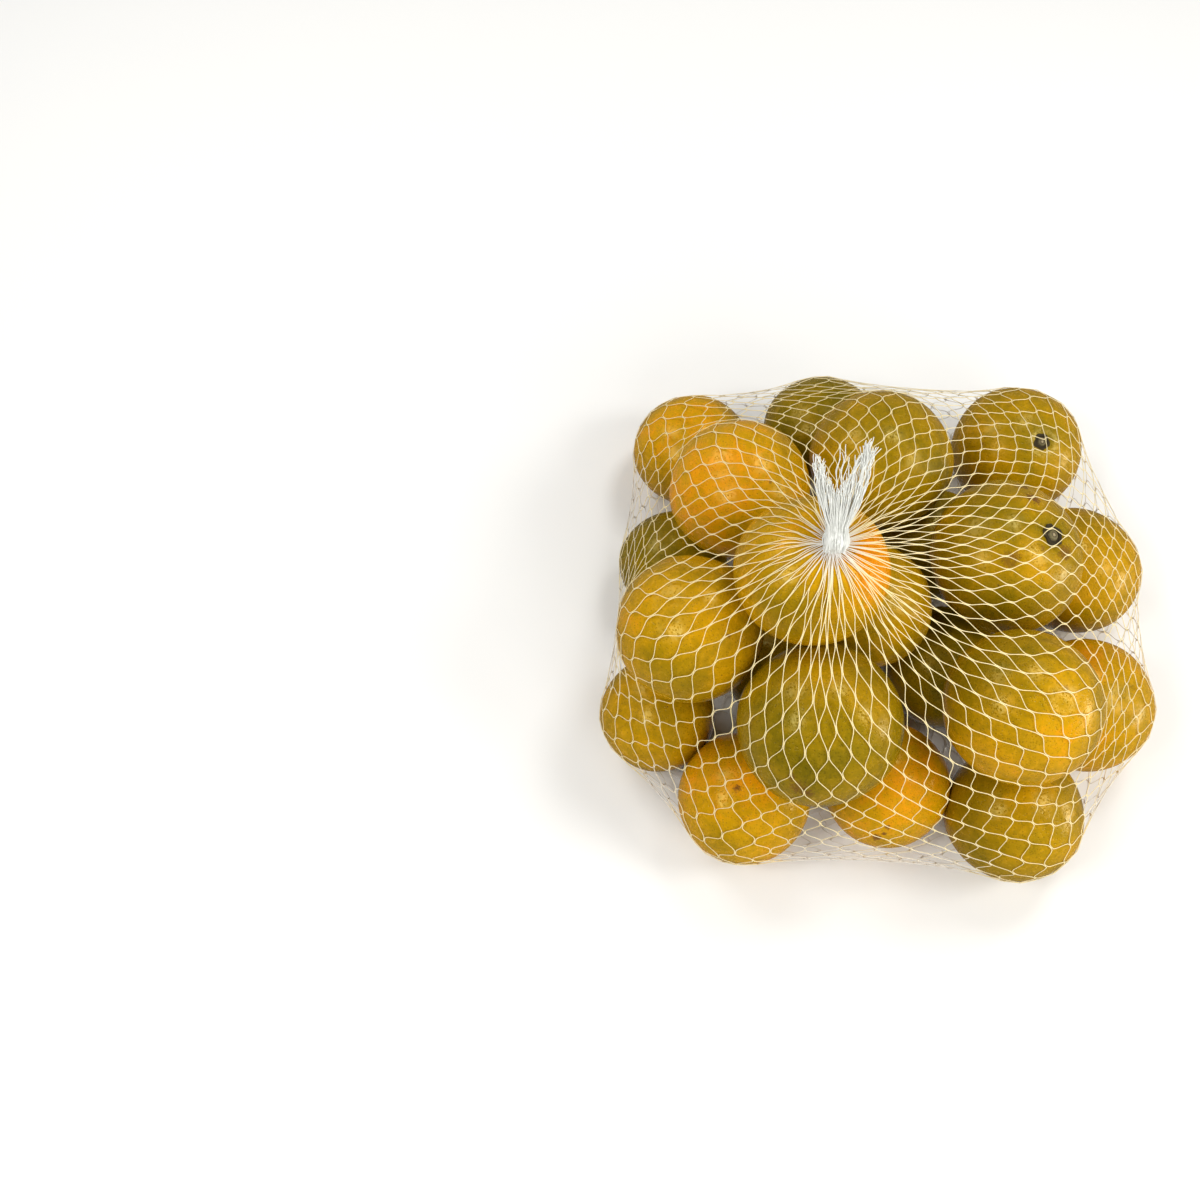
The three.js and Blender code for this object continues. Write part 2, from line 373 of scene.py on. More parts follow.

# Oil pores: fine dimples about a millimetre apart, with painted shade at the bottom.
pores = node("ShaderNodeTexVoronoi", Scale=900.0, Randomness=0.9)
pores.feature = "F1"
links.new(place.outputs["Object"], pores.inputs["Vector"])
dimples = node("ShaderNodeMapRange", **{"From Min": 0.05, "From Max": 0.42})
dimples.interpolation_type = "SMOOTHSTEP"
links.new(pores.outputs["Distance"], dimples.inputs["Value"])
porous = node("ShaderNodeMix", data_type="RGBA", blend_type="MULTIPLY")
porous.inputs["Factor"].default_value = 1.0
links.new(ripening.outputs["Color"], porous.inputs["A"])
shade_in_pores = node("ShaderNodeMapRange", **{"To Min": 0.74, "To Max": 1.05})
links.new(dimples.outputs["Result"], shade_in_pores.inputs["Value"])
links.new(shade_in_pores.outputs["Result"], porous.inputs["B"])

# A mark's mask: full at its centre, with an edge that a fine noise makes ragged.
skin_mark = bpy.data.node_groups.new("skin_mark", "ShaderNodeTree")
for name, kind in (("Place", "Vector"), ("Centre", "Vector"), ("Size", "Float"), ("Ragged", "Float")):
    skin_mark.interface.new_socket(name=name, in_out="INPUT", socket_type="NodeSocket" + kind)
skin_mark.interface.new_socket(name="Mask", in_out="OUTPUT", socket_type="NodeSocketFloat")
inner, wires = skin_mark.nodes, skin_mark.links
given, result = inner.new("NodeGroupInput"), inner.new("NodeGroupOutput")
gap = inner.new("ShaderNodeVectorMath")
gap.operation = "DISTANCE"
wires.new(given.outputs["Place"], gap.inputs[0])
wires.new(given.outputs["Centre"], gap.inputs[1])
in_sizes = inner.new("ShaderNodeMath")
in_sizes.operation = "DIVIDE"
wires.new(gap.outputs["Value"], in_sizes.inputs[0])
wires.new(given.outputs["Size"], in_sizes.inputs[1])
frayed = inner.new("ShaderNodeMath")
frayed.operation = "MULTIPLY_ADD"
frayed.inputs[1].default_value = 3.4
wires.new(given.outputs["Ragged"], frayed.inputs[0])
wires.new(in_sizes.outputs["Value"], frayed.inputs[2])
fading = inner.new("ShaderNodeMapRange")
fading.inputs["From Min"].default_value = 2.65
fading.inputs["From Max"].default_value = 2.15
wires.new(frayed.outputs["Value"], fading.inputs["Value"])
wires.new(fading.outputs["Result"], result.inputs["Mask"])

rubbed = node("ShaderNodeTexNoise", Scale=620.0, Detail=5.0, Roughness=0.75)
links.new(place.outputs["Object"], rubbed.inputs["Vector"])
marked = porous.outputs["Result"]
for spot, size, strength in mark_centres:
    mark = nodes.new("ShaderNodeGroup")
    mark.node_tree = skin_mark
    mark.inputs["Centre"].default_value = spot
    mark.inputs["Size"].default_value = size * MM
    links.new(place.outputs["Object"], mark.inputs["Place"])
    links.new(rubbed.outputs["Fac"], mark.inputs["Ragged"])
    dark = node("ShaderNodeMath", operation="MULTIPLY")
    dark.inputs[1].default_value = strength
    links.new(mark.outputs["Mask"], dark.inputs[0])
    browned = node("ShaderNodeMix", data_type="RGBA")
    links.new(dark.outputs["Value"], browned.inputs["Factor"])
    links.new(marked, browned.inputs["A"])
    browned.inputs["B"].default_value = (0.13, 0.042, 0.013, 1)
    marked = browned.outputs["Result"]

# Small brown and green specks all over.
for scale, radius, strength, colour in ((115.0, 0.050, 0.75, (0.07, 0.035, 0.012, 1)),
                                        (330.0, 0.085, 0.45, (0.10, 0.10, 0.01, 1))):
    specks = node("ShaderNodeTexVoronoi", Scale=scale, Randomness=1.0)
    links.new(place.outputs["Object"], specks.inputs["Vector"])
    speck_mask = node("ShaderNodeMapRange", **{"From Min": radius, "From Max": radius / 2, "To Min": 0.0,
                                               "To Max": strength})
    links.new(specks.outputs["Distance"], speck_mask.inputs["Value"])
    specked = node("ShaderNodeMix", data_type="RGBA")
    links.new(speck_mask.outputs["Result"], specked.inputs["Factor"])
    links.new(marked, specked.inputs["A"])
    specked.inputs["B"].default_value = colour
    marked = specked.outputs["Result"]
links.new(marked, skin.inputs["Base Color"])

# The waxy surface: pores and shallow unevenness break the highlights up, and the wax is worn
# where the finest mottling is.
uneven = node("ShaderNodeTexNoise", Scale=240.0, Detail=2.0, Roughness=0.5)
links.new(place.outputs["Object"], uneven.inputs["Vector"])
uneven_bump = node("ShaderNodeBump", Strength=0.35, Distance=0.0006)
links.new(uneven.outputs["Fac"], uneven_bump.inputs["Height"])
pore_bump = node("ShaderNodeBump", Strength=0.6, Distance=0.00020)
links.new(dimples.outputs["Result"], pore_bump.inputs["Height"])
links.new(uneven_bump.outputs["Normal"], pore_bump.inputs["Normal"])
links.new(pore_bump.outputs["Normal"], skin.inputs["Normal"])
worn = node("ShaderNodeMapRange", **{"From Min": 0.3, "From Max": 0.7, "To Min": 0.18, "To Max": 0.31})
links.new(clouds.outputs["Fac"], worn.inputs["Value"])
links.new(worn.outputs["Result"], skin.inputs["Roughness"])
skin.inputs["Specular IOR Level"].default_value = 0.40
skin.inputs["Specular Tint"].default_value = (1.0, 0.84, 0.30, 1)

for piece in oranges:
    piece.data.materials.clear()
    piece.data.materials.append(rind)
    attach(piece, "root")
    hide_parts("filled_net")


# ---- The stem buttons ----
# Where each orange was cut from its twig a small dry button is left in the dimple: a brown ring
# with a grey-green middle and a pale stub, 7 to 10 mm across.

bpy.ops.object.select_all(action="DESELECT")
bpy.ops.mesh.primitive_cylinder_add(vertices=25, radius=1, depth=0.5)
button_pattern = bpy.context.object
bpy.ops.object.mode_set(mode="EDIT")
bpy.ops.mesh.select_mode(type="FACE")
bpy.ops.mesh.select_all(action="DESELECT")
bpy.ops.object.mode_set(mode="OBJECT")
for face in button_pattern.data.polygons:
    face.select = face.normal.z > 0.9
bpy.ops.object.mode_set(mode="EDIT")
for thickness, rise in ((0.10, 0.05), (0.20, -0.02), (0.10, -0.22), (0.12, 0.02), (0.08, 0.26), (0.16, 0.06),
                        (0.08, -0.08)):
    bpy.ops.mesh.inset(thickness=thickness, depth=rise)
bpy.ops.mesh.poke()
bpy.ops.object.mode_set(mode="OBJECT")
for point in button_pattern.data.vertices:
    radius = point.co.xy.length
    angle = math.atan2(point.co.y, point.co.x)
    lobes = 0.10 * math.cos(5 * angle) + 0.06 * math.sin(3 * angle + 1) + 0.04 * math.sin(11 * angle)
    point.co.xy *= 1 + lobes * radius ** 2
    if point.co.z > 0:
        point.co.z -= 0.10 * radius ** 2
bpy.ops.object.shade_smooth_by_angle(angle=math.radians(50))

bark = bpy.data.materials.new("stem_button")
bark.use_nodes = True
nodes, links = bark.node_tree.nodes, bark.node_tree.links
surface = nodes["Principled BSDF"]
from_stub = node("ShaderNodeAttribute", attribute_name="from_stub")
grain = node("ShaderNodeTexNoise", Scale=1600.0, Detail=4.0, Roughness=0.7)
place = node("ShaderNodeTexCoord")
links.new(place.outputs["Object"], grain.inputs["Vector"])
wandering = node("ShaderNodeMath", operation="MULTIPLY_ADD")
links.new(grain.outputs["Fac"], wandering.inputs[0])
wandering.inputs[1].default_value = 0.35
links.new(from_stub.outputs["Fac"], wandering.inputs[2])
rings = node("ShaderNodeValToRGB")
fill_ramp(rings.color_ramp, [
    (0.26, (0.36, 0.30, 0.17)), (0.38, (0.07, 0.05, 0.025)), (0.56, (0.19, 0.165, 0.080)),
    (0.72, (0.055, 0.040, 0.018)), (0.88, (0.022, 0.016, 0.008)), (1.0, (0.04, 0.03, 0.012))])
links.new(wandering.outputs["Value"], rings.inputs["Fac"])
links.new(rings.outputs["Color"], surface.inputs["Base Color"])
bark_bump = node("ShaderNodeBump", Strength=0.6, Distance=0.0003)
links.new(grain.outputs["Fac"], bark_bump.inputs["Height"])
links.new(bark_bump.outputs["Normal"], surface.inputs["Normal"])
surface.inputs["Roughness"].default_value = 0.75
surface.inputs["Specular IOR Level"].default_value = 0.2

BUTTON_DEPTH = 2.8
BUTTON_UNDERSIDE = 0.6   # kept clear of the table, under fruit that stand on their stem end
# The two that show: the radius, and how far it stands up out of the dimple's bottom.
BUTTON_SIZES = {"upper_right": (4.9, 1.15), "back_right": (4.0, 0.35)}
for number, orange in enumerate(heap):
    radius, lift = BUTTON_SIZES.get(orange.name, (3.5 + 0.4 * math.sin(number * 2.4), 0.35))
    piece = button_pattern.copy()
    piece.data = button_pattern.data.copy()
    piece.name = piece.data.name = "button_" + orange.name
    bpy.context.collection.objects.link(piece)
    points = np.empty(len(piece.data.vertices) * 3)
    piece.data.vertices.foreach_get("co", points)
    points = points.reshape(-1, 3)
    piece.data.attributes.new("from_stub", "FLOAT", "POINT").data.foreach_set(
        "value", np.linalg.norm(points[:, :2], axis=1))
    height = STEM_DIMPLE * orange.pole * orange.lumps(np.array([[0, 0, 1.0]]))[0]
    own = points * [radius, radius, BUTTON_DEPTH] + [0, 0, height + lift]
    placed = own @ orange.turn.T + np.array(orange.centre)
    placed[:, 2] = np.maximum(placed[:, 2], BUTTON_UNDERSIDE)
    piece.data.vertices.foreach_set("co", (placed * MM).ravel())
    piece.data.update()
    piece.data.materials.append(bark)
    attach(piece, "root")
    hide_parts("filled_net")
bpy.data.objects.remove(button_pattern)


# ---- The net ----
# A tube of knitted white plastic yarn, gathered at both ends. Every yarn runs from the knot down
# and under the heap, and is knitted to its left and its right neighbour in turn.

COLUMNS = 56
ROWS = 37
JOINT = 3.5              # length over which two yarns are knitted together
STRAND = 7.9             # length of a single yarn from joint to joint
YARN = 0.36
NET_LOWEST = 0.3         # no yarn's middle lies closer to the table
KNOT_BOTTOM = np.array([-39.0, -17.0, 138.0])
GATHER = np.array([24.0, 5.0, 0.3])
INSIDE = np.array([0.0, -4.0, 50.0])
HALF_COLUMNS = 2 * COLUMNS
# How crowded the columns are round the knot, every 30 degrees from +X.
CROWDING = [1.20, 1.05, 0.95, 1.0, 1.0, 0.85, 0.85, 1.20, 0.85, 1.10, 0.95, 0.85]

chance = np.random.default_rng(5)

# The net starts as a tight skin round the whole heap: from a point inside, the nearest of many
# planes that each touch the heap.
facing = chance.normal(size=(4000, 3))
facing /= np.linalg.norm(facing, axis=1, keepdims=True)
touching = facing @ KNOT_BOTTOM
for orange in heap:
    own = facing @ orange.turn * (orange.radii + 1)
    touching = np.maximum(touching, facing @ np.array(orange.centre) + np.linalg.norm(own, axis=1))
touching -= facing @ INSIDE
STEPS = 240
upward, downward = KNOT_BOTTOM - INSIDE, GATHER - INSIDE
upward, downward = upward / np.linalg.norm(upward), downward / np.linalg.norm(downward)
meridians = np.zeros((HALF_COLUMNS, STEPS, 3))
for column in range(HALF_COLUMNS):
    angle = 2 * math.pi * column / HALF_COLUMNS
    outward = np.array([math.cos(angle), math.sin(angle), 0])
    fall = np.linspace(0, math.pi, STEPS)[:, None]
    ways = np.where(fall <= math.pi / 2, np.cos(fall) * upward, -np.cos(fall) * downward)
    ways = ways + np.sin(fall) * outward
    ways /= np.linalg.norm(ways, axis=1, keepdims=True)
    slant = ways @ facing.T
    out = np.where(slant > 0.05, touching / np.maximum(slant, 0.05), 1e9).min(1)
    meridians[column] = INSIDE + ways * out[:, None]
meridians[:, :, 2] = np.maximum(meridians[:, :, 2], NET_LOWEST)

# Rows stand closer where the net is stretched wide.
half_wide = np.linalg.norm(np.roll(meridians, -1, 0) - np.roll(meridians, 1, 0), axis=2) / 2
row_height = JOINT + np.sqrt(np.maximum(STRAND ** 2 - half_wide ** 2, 1.0))
stretch = np.linalg.norm(np.diff(meridians, axis=1), axis=2) * 2 / (row_height[:, 1:] + row_height[:, :-1])
rows_down = np.concatenate([np.zeros((HALF_COLUMNS, 1)), np.cumsum(stretch, axis=1)], axis=1)

crowd = np.interp(np.arange(360), np.arange(0, 361, 30), CROWDING + CROWDING[:1])
crowd = np.concatenate([[0], np.cumsum(crowd)]) / crowd.sum()


def crowded_angle(share):
    """The angle round the knot below which this share of the columns lies."""
    return np.radians(np.interp(share % 1.0, crowd, np.arange(361)))


def swirl(angle, down):
    """How far the tied net is twisted round the heap, in half columns."""
    eased = min(1, down / 0.55)
    eased = eased * eased * (3 - 2 * eased)
    return eased * (4.0 + 2.2 * math.cos(angle + math.radians(110))) \
        + math.sin(2 * angle + 2.0) * math.sin(math.pi * down)


# Down to this row the rows keep their height, and those below it share what is left.
RIM_ROW = 24


def room_above(row, room):
    """How many rows of room lie above this row, on a way down that has room for so many rows."""
    if room >= ROWS or room < RIM_ROW + 4:
        return row / ROWS * room
    return row if row <= RIM_ROW else RIM_ROW + (row - RIM_ROW) * (room - RIM_ROW) / (ROWS - RIM_ROW)


def on_meridian(column, step):
    """The point on a way down, between two of its steps."""
    step_before = min(STEPS - 2, int(step))
    part = step - step_before
    return meridians[column % HALF_COLUMNS, step_before] * (1 - part) \
        + meridians[column % HALF_COLUMNS, step_before + 1] * part


# Every joint has a top and a bottom end.
ends = np.zeros((ROWS, 2, COLUMNS, 3))
for row in range(ROWS):
    for end, share_down in ((0, 0.15), (1, 0.45)):
        down = (row + share_down) / ROWS
        for joint in range(COLUMNS):
            column = 2 * joint + row % 2
            angle = 2 * math.pi * column / HALF_COLUMNS
            room = room_above(row + share_down, rows_down[column, -1])
            step = np.interp(room, rows_down[column], np.arange(STEPS))
            eased = min(1, max(0, (down - 0.22) / 0.33))
            eased = eased * eased * (3 - 2 * eased)
            turned = crowded_angle(column / HALF_COLUMNS) * (1 - eased) + angle * eased
            turned = turned / (2 * math.pi) * HALF_COLUMNS + swirl(turned, down)
            part = turned - math.floor(turned)
            ends[row, end, joint] = on_meridian(math.floor(turned), step) * (1 - part) \
                + on_meridian(math.floor(turned) + 1, step) * part

# Both ends of the tube are pulled together: into the knot, and into a small gather underneath.
round_knot = crowded_angle(np.arange(COLUMNS) / COLUMNS)
bunching = 0.35 * np.sin(round_knot * 26 + 2 * np.sin(round_knot * 3)) * 2 * math.pi / COLUMNS
round_knot = round_knot + bunching
ends[0, 0] = KNOT_BOTTOM + 3.0 * np.stack([np.cos(round_knot), np.sin(round_knot), 0 * round_knot], axis=1)
round_gather = 2 * math.pi * (np.arange(COLUMNS) + 0.5 * ((ROWS - 1) % 2)) / COLUMNS
round_gather += [swirl(angle, 1) / HALF_COLUMNS * 2 * math.pi for angle in round_gather]
ends[-1, 1] = GATHER + 3.2 * np.stack([np.cos(round_gather), np.sin(round_gather), 0 * round_gather], axis=1)
free = np.ones((ROWS, 2, COLUMNS, 1))
free[0, 0] = free[-1, 1] = 0
held_top, held_bottom = ends[0, 0].copy(), ends[-1, 1].copy()

# A joint's bottom is tied to the tops of the two joints below it, left and right.
next_row = np.arange(1, ROWS)[:, None]
straight = np.tile(np.arange(COLUMNS), (ROWS - 1, 1))
odd = (np.arange(ROWS - 1) % 2)[:, None]
tied_left = (straight - 1 + odd) % COLUMNS
tied_right = (straight + odd) % COLUMNS
joint_lengths = JOINT * (1 + 0.05 * chance.normal(size=(ROWS, COLUMNS)))
strand_lengths = STRAND * (1 + 0.03 * chance.normal(size=(2, ROWS - 1, COLUMNS)))


def pull(start, end, length, free_start, free_end, slack):
    """Moves both ends of a yarn to its length, weakly where it is only slack."""
    run = end - start
    now = np.linalg.norm(run, axis=-1, keepdims=True)
    short = (now - length[..., None]) / np.maximum(now, 1e-6)
    short = np.where(short < 0, short * slack, short)
    both = np.maximum(free_start + free_end, 1e-9)
    return run * short * free_start / both, -run * short * free_end / both


UNDER_FRUIT = 0.9        # what lies lower than this is under a standing orange's flat


def keep_out(points, clearance):
    """Pushes points out of the oranges and off the table."""
    for orange in heap:
        near = np.abs(points - np.array(orange.centre)).max(axis=1) < orange.equator + 1.5
        near &= points[:, 2] > UNDER_FRUIT
        where = np.nonzero(near)[0]
        if len(where) == 0:
            continue
        depth = orange.depth_of(points[where]) / (1 + clearance / orange.equator)
        inside = depth < 1
        where = where[inside]
        middle = np.array(orange.centre)
        points[where] = middle + (points[where] - middle) / depth[inside][:, None]
    points[:, 2] = np.maximum(points[:, 2], NET_LOWEST)


ROUNDS = 700
for turn in range(ROUNDS):
    # The yarn draws each end to the middle of what it is tied to.
    tension = 0.03 * (1 - 0.8 * turn / ROUNDS)
    tops, bottoms = ends[:, 0], ends[:, 1]
    drawn_tops, tops_ties = bottoms.copy(), np.ones((ROWS, COLUMNS, 1))
    drawn_bottoms, bottoms_ties = tops.copy(), np.ones((ROWS, COLUMNS, 1))
    for tied in (tied_left, tied_right):
        drawn_bottoms[:-1] += tops[next_row, tied]
        bottoms_ties[:-1] += 1
        above = np.zeros_like(tops)
        above[next_row, tied] = bottoms[:-1]
        drawn_tops += above
        tops_ties[1:] += 1
    tops += (drawn_tops / tops_ties - tops) * tension * free[:, 0]
    bottoms += (drawn_bottoms / bottoms_ties - bottoms) * tension * free[:, 1]
    # Then every yarn takes its own length.
    for _ in range(2):
        up, down = pull(ends[:, 0], ends[:, 1], joint_lengths, free[:, 0], free[:, 1], 0.1)
        ends[:, 0] += up
        ends[:, 1] += down
        for tied, lengths in zip((tied_left, tied_right), strand_lengths):
            up, down = pull(ends[:-1, 1], ends[next_row, 0, tied], lengths, free[:-1, 1],
                            free[next_row, 0, tied], 0.0)
            ends[:-1, 1] += up
            ends[next_row, 0, tied] += down
    flat = ends.reshape(-1, 3)
    keep_out(flat, 0.5)
    ends = flat.reshape(ends.shape)
    ends[0, 0], ends[-1, 1] = held_top, held_bottom

# Which way is right of each joint, along the net.
middles = ends.mean(axis=1)
fall = ends[:, 1] - ends[:, 0]
fall /= np.linalg.norm(fall, axis=-1, keepdims=True)
sideways = np.roll(middles, -1, axis=1) - np.roll(middles, 1, axis=1)
sideways -= fall * (sideways * fall).sum(-1, keepdims=True)
sideways /= np.linalg.norm(sideways, axis=-1, keepdims=True)


def yarn_path(number):
    """The way of one yarn: right of a joint, then left of the next, down to the gather."""
    way = []
    for row in range(ROWS):
        if row % 2 == 0:
            joint, side = (number // 2, 1) if number % 2 == 0 else ((number + 1) // 2 % COLUMNS, -1)
        else:
            joint, side = (number // 2, -1) if number % 2 == 0 else (number // 2, 1)
        beside = sideways[row, joint] * side * YARN * 0.5
        top, bottom = ends[row, 0, joint] + beside, ends[row, 1, joint] + beside
        if way:
            before = way[-1]
            way += [before + (top - before) * share for share in (0.12, 0.5, 0.88)]
        way += [top, (top + bottom) / 2, bottom]
    return np.array(way)


def relaxed(way):
    """The same way with its corners rounded."""
    return np.concatenate([way[:1], (way[:-2] + 2 * way[1:-1] + way[2:]) / 4, way[-1:]])


def make_yarns(name, ways, thickness, swell=None):
    """A piece of many yarns, each a round thread along its way, in millimetres."""
    curve = bpy.data.curves.new(name, "CURVE")
    curve.dimensions = "3D"
    curve.bevel_depth = thickness / 2 * MM
    curve.bevel_resolution = 1
    curve.use_fill_caps = True
    for way in ways:
        spline = curve.splines.new("POLY")
        spline.points.add(len(way) - 1)
        spline.points.foreach_set("co", np.concatenate([way * MM, np.ones((len(way), 1))], axis=1).ravel())
        if swell is not None:
            spline.points.foreach_set("radius", swell[:len(way)])
    piece = bpy.data.objects.new(name, curve)
    bpy.context.collection.objects.link(piece)
    bpy.ops.object.select_all(action="DESELECT")
    bpy.context.view_layer.objects.active = piece
    piece.select_set(True)
    bpy.ops.object.convert(target="MESH")
    bpy.ops.object.shade_smooth()
    return bpy.context.object


plastic = bpy.data.materials.new("net_plastic")
plastic.use_nodes = True
nodes, links = plastic.node_tree.nodes, plastic.node_tree.links
film = nodes["Principled BSDF"]
film.inputs["Base Color"].default_value = (0.77, 0.78, 0.74, 1)
film.inputs["Roughness"].default_value = 0.38
bunched_plastic = plastic.copy()
bunched_plastic.name = "bunched_net_plastic"
# Single yarns let some light through, and the fruit-coloured light they pick up is painted into their colour
# where they lie on the fruit.
film.inputs["Alpha"].default_value = 0.9
painted_fruit_light = node("ShaderNodeAttribute", attribute_name="painted_fruit_light")
tinted = node("ShaderNodeMix", data_type="RGBA")
links.new(painted_fruit_light.outputs["Fac"], tinted.inputs["Factor"])
tinted.inputs["A"].default_value = (0.84, 0.80, 0.74, 1)
tinted.inputs["B"].default_value = (0.98, 0.84, 0.47, 1)
links.new(tinted.outputs["Result"], film.inputs["Base Color"])

# Up at the knot the yarns close in on each other in uneven bunches, two of them heavy ones, given
# by their direction from the knot, their width in radians and how far down they reach.
BUNCHES = 27
HEAVY_BUNCHES = [(math.radians(-42), 0.30, 34.0), (math.radians(176), 0.42, 15.0)]


def bunched(way):
    """The same way drawn in to its bunch as it nears the knot."""
    out = way - KNOT_BOTTOM
    away = np.linalg.norm(out, axis=1)
    angle = np.arctan2(out[:, 1], out[:, 0])
    near = np.clip((48 - away) / 30, 0, 1)
    near = near * near * (3 - 2 * near)
    tight = 0.84 + 0.12 * np.sin(5 * angle + 1)
    shift = -near * tight / BUNCHES * np.sin(BUNCHES * angle + 1.6 * np.sin(3 * angle + 0.5))
    for toward, wide, reach in HEAVY_BUNCHES:
        off = (angle - toward + math.pi) % (2 * math.pi) - math.pi
        here = np.clip((reach - away) / (0.6 * reach), 0, 1)
        shift -= here * 0.8 * off * np.exp(-(off / wide) ** 4)
    flat = np.hypot(out[:, 0], out[:, 1])
    turned = np.stack([flat * np.cos(angle + shift), flat * np.sin(angle + shift), out[:, 2]], axis=1)
    return KNOT_BOTTOM + turned


paths = []
for number in range(HALF_COLUMNS):
    way = bunched(relaxed(yarn_path(number)))
    keep_out(way, YARN / 2 + 0.04)
    # The bottom end turns up into the gather.
    spoke = (way[-1] - GATHER) / np.linalg.norm(way[-1] - GATHER)
    inside = [GATHER + spoke * radius + np.array([0, 0, rise])
              for radius, rise in ((1.4, 0.9), (0.9, 3), (1.2, 6))]
    paths.append(np.concatenate([way, inside]))
# Two yarns lie side by side at a joint, and each is drawn thin between joints and at the knot.
POINTS_AT_KNOT = 15
yarn_swell = [1.12] * 3 + [0.92, 0.86, 0.92, 1.12, 1.12, 1.12] * (ROWS - 1) + [1.0] * 3
yarn_swell[:POINTS_AT_KNOT] = [0.92] * POINTS_AT_KNOT
net_pieces = [make_yarns("net_back", paths[:COLUMNS], YARN, yarn_swell),
              make_yarns("net_front", paths[COLUMNS:], YARN, yarn_swell)]
for piece in net_pieces:
    points = np.empty(len(piece.data.vertices) * 3)
    piece.data.vertices.foreach_get("co", points)
    points = points.reshape(-1, 3) / MM
    off_fruit = np.full(len(points), 9.0)
    for orange in heap:
        off_fruit = np.minimum(off_fruit, (orange.depth_of(points) - 1) * orange.equator)
    # Painted fruit-coloured light: warm on the fruit, and also above the deep gaps high up, but white at the
    # knot.
    on_fruit = np.clip((6 - off_fruit) / 5, 0, 1)
    over_gaps = np.clip((26 - off_fruit) / 18, 0, 1) * np.clip((points[:, 2] - 25) / 30, 0, 1)
    off_knot = np.linalg.norm(points - KNOT_BOTTOM, axis=1)
    painted_light_share = np.maximum(on_fruit, over_gaps) * np.clip((off_knot - 5) / 13, 0, 1)
    piece.data.attributes.new("painted_fruit_light", "FLOAT", "POINT").data.foreach_set("value", painted_light_share)
    piece.data.materials.append(plastic)
    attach(piece, "root")
    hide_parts("filled_net")


# ---- The knot ----
# The net's top end is tied into one tight knot, a white lump of yarn about 10 mm across: a core
# with the outer turns lying side by side round it in three directions.

TAIL_RISE = math.radians(32)
TAIL_HEADING = math.radians(86)
heading = np.array([math.cos(TAIL_HEADING) * math.cos(TAIL_RISE),
                    math.sin(TAIL_HEADING) * math.cos(TAIL_RISE), math.sin(TAIL_RISE)])
KNOT_CENTRE = np.array([-39.0, -17.0, 141.6])
KNOT_RADII = np.array([4.9, 4.7, 4.1])
NECK = 9.0               # how far the core runs out into the tail

bpy.ops.object.select_all(action="DESELECT")
bpy.ops.mesh.primitive_ico_sphere_add(subdivisions=5, radius=1)
knot = bpy.context.object
knot.name = knot.data.name = "knot_core"
for point in knot.data.vertices:
    way = np.array(point.co)
    swell = 1 + 0.05 * math.sin(3.1 * way[0] + 1.7 * way[1] + 0.4)
    swell += 0.04 * math.sin(4.3 * way[1] - 2.2 * way[2])
    swell += 0.03 * math.sin(9 * math.atan2(way[1], way[0]) + 5 * way[2])
    # It runs out into the neck of the tail.
    ahead = max(0.0, float(way @ heading))
    neck = heading * NECK * ahead ** 3
    point.co = Vector((KNOT_CENTRE + way * KNOT_RADII * swell * 0.95 * (1 - 0.1 * ahead) + neck) * MM)
bpy.ops.object.shade_smooth()

turns = []
for band, (lean, toward, wide) in enumerate(((64, 20, 15), (72, 140, 13), (40, 265, 12))):
    lean, toward = math.radians(lean), math.radians(toward)
    axis = np.array([math.sin(lean) * math.cos(toward), math.sin(lean) * math.sin(toward), math.cos(lean)])
    first = np.cross(axis, [0.3, 0.2, 1.0])
    first /= np.linalg.norm(first)
    second = np.cross(axis, first)
    for lay in range(wide):
        shift = (lay - (wide - 1) / 2) * 0.092 + 0.02 * chance.normal()
        start = chance.uniform(0, 2 * math.pi)
        angles = start + np.linspace(0, math.radians(chance.uniform(200, 320)), 46)
        wander = shift + 0.03 * np.sin(angles * 2 + chance.uniform(0, 6.28))
        ring = np.sqrt(np.maximum(1 - wander ** 2, 0.05))
        way = axis * wander[:, None] + ring[:, None] * (first * np.cos(angles)[:, None]
                                                        + second * np.sin(angles)[:, None])
        ends_in = np.minimum(1, np.minimum(np.arange(46), np.arange(46)[::-1]) / 5)
        lift = 0.86 + 0.10 * ends_in + 0.012 * chance.normal() + 0.012 * band
        turns.append(KNOT_CENTRE + way * KNOT_RADII * lift[:, None])
knot_turns = make_yarns("knot_turns", turns, 0.42)
for piece in (knot, knot_turns):
    piece.data.materials.append(bunched_plastic)
    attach(piece, "root")
    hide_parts("knot")


# ---- The tail ----
# Above the knot the rest of the tube is left as a flat fan of collapsed net, cut off unevenly:
# two dense locks and a few loose ends between them.

to_right = np.array([math.sin(TAIL_HEADING), -math.cos(TAIL_HEADING), 0])
upright = np.cross(to_right, heading)
TAIL_YARNS = 160
# How long the yarns are, from the left edge of the fan, at -1, to its right edge, at 1.
FAN_PLACES = (-1, -0.75, -0.36, -0.05, 0.2, 0.5, 0.85, 1)
FAN_LENGTHS = (25.5, 24, 13, 13, 19, 29, 33, 31)

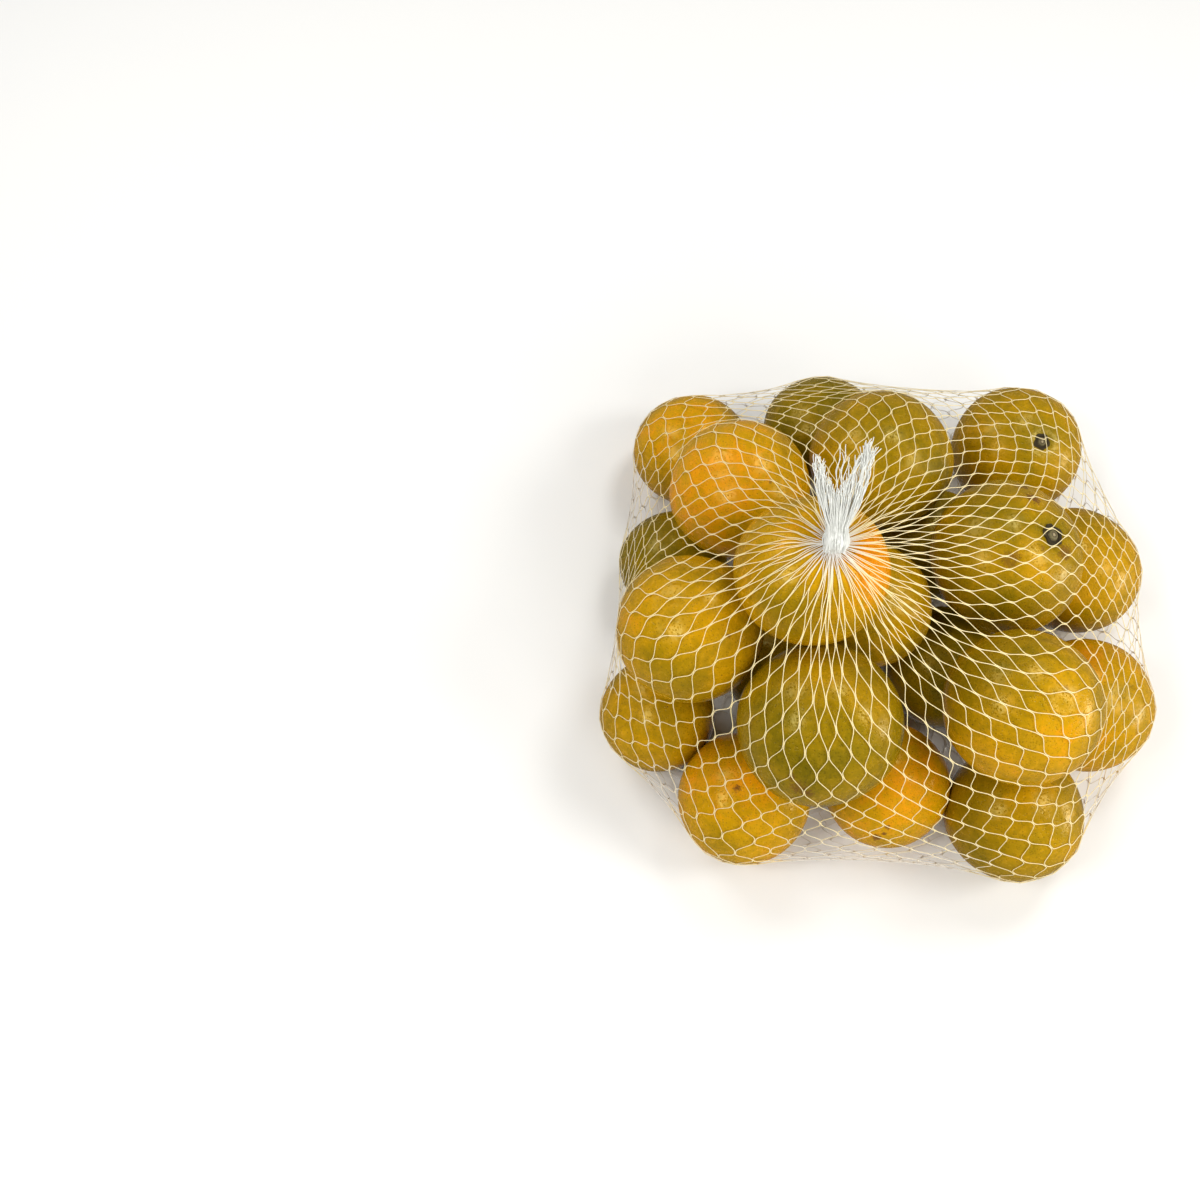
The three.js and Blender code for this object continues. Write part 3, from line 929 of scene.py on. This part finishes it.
tail_ways = []
for number in range(TAIL_YARNS):
    across = -1 + 2 * (number + 0.5) / TAIL_YARNS + 0.05 * chance.normal()
    layer = chance.uniform(-1, 1)
    length = np.interp(across, FAN_PLACES, FAN_LENGTHS) + chance.uniform(-2.5, 1.5)
    lock, held = (-0.85, 0.28) if across < -0.36 else (0.70, 0.28) if across > 0 else (across, 0.0)
    if -0.30 < across < 0.12 and number % 8 == 0:
        length, held = chance.uniform(25, 31), 0.0
    along = np.linspace(chance.uniform(-10.5, -8), length, 66)
    wide = 3.9 + 9.0 * (1 - np.exp(-np.maximum(along, 0) / 17))
    gathered = np.clip((along - 13) / 16, 0, 1) ** 1.5 * held
    sideways_now = wide * (across * (1 - gathered) + lock * gathered)
    knitted = 0.16 + 0.30 * np.clip((along - 8) / 12, 0, 1)
    sideways_now = sideways_now + knitted * np.sin(along * 2 * math.pi / 11.4 + (number % 2) * math.pi
                                                   + 0.5 * chance.normal())
    # The yarns part here and there, and leave long slits.
    parted = np.clip((along - 7) / 9, 0, 1) * (0.55 + 0.45 * np.sin(along * 0.55 + 5 * across))
    sideways_now = sideways_now - 0.70 * parted * np.sin(27 * across + 2 * math.sin(5 * across))
    loose = np.clip((along - length * 0.7) / (length * 0.3), 0, 1) ** 2
    sideways_now = sideways_now + loose * chance.normal() * 0.9
    thick = layer * (3.7 - 2.9 * np.clip((along + 1) / 15, 0, 1)) + loose * chance.normal() * 0.8
    thick = thick + 0.25 * np.sin(along * 0.5 + chance.uniform(0, 6.28))
    way = KNOT_CENTRE + heading * (5.5 + along)[:, None]
    way = way + to_right * sideways_now[:, None] + upright * thick[:, None]
    # It comes up over the outside of the knot, from the far side of it.
    depth = np.linalg.norm((way - KNOT_CENTRE) / KNOT_RADII, axis=1)
    depth = depth / np.clip(1.45 + 0.05 * along, 0.94, 1.05)
    way = KNOT_CENTRE + (way - KNOT_CENTRE) / np.minimum(depth, 1)[:, None]
    keep_out(way, 0.25)
    tail_ways.append(way)
tail = make_yarns("tail_yarns", tail_ways, 0.34)
tail.data.materials.append(bunched_plastic)
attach(tail, "root")
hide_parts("tail")
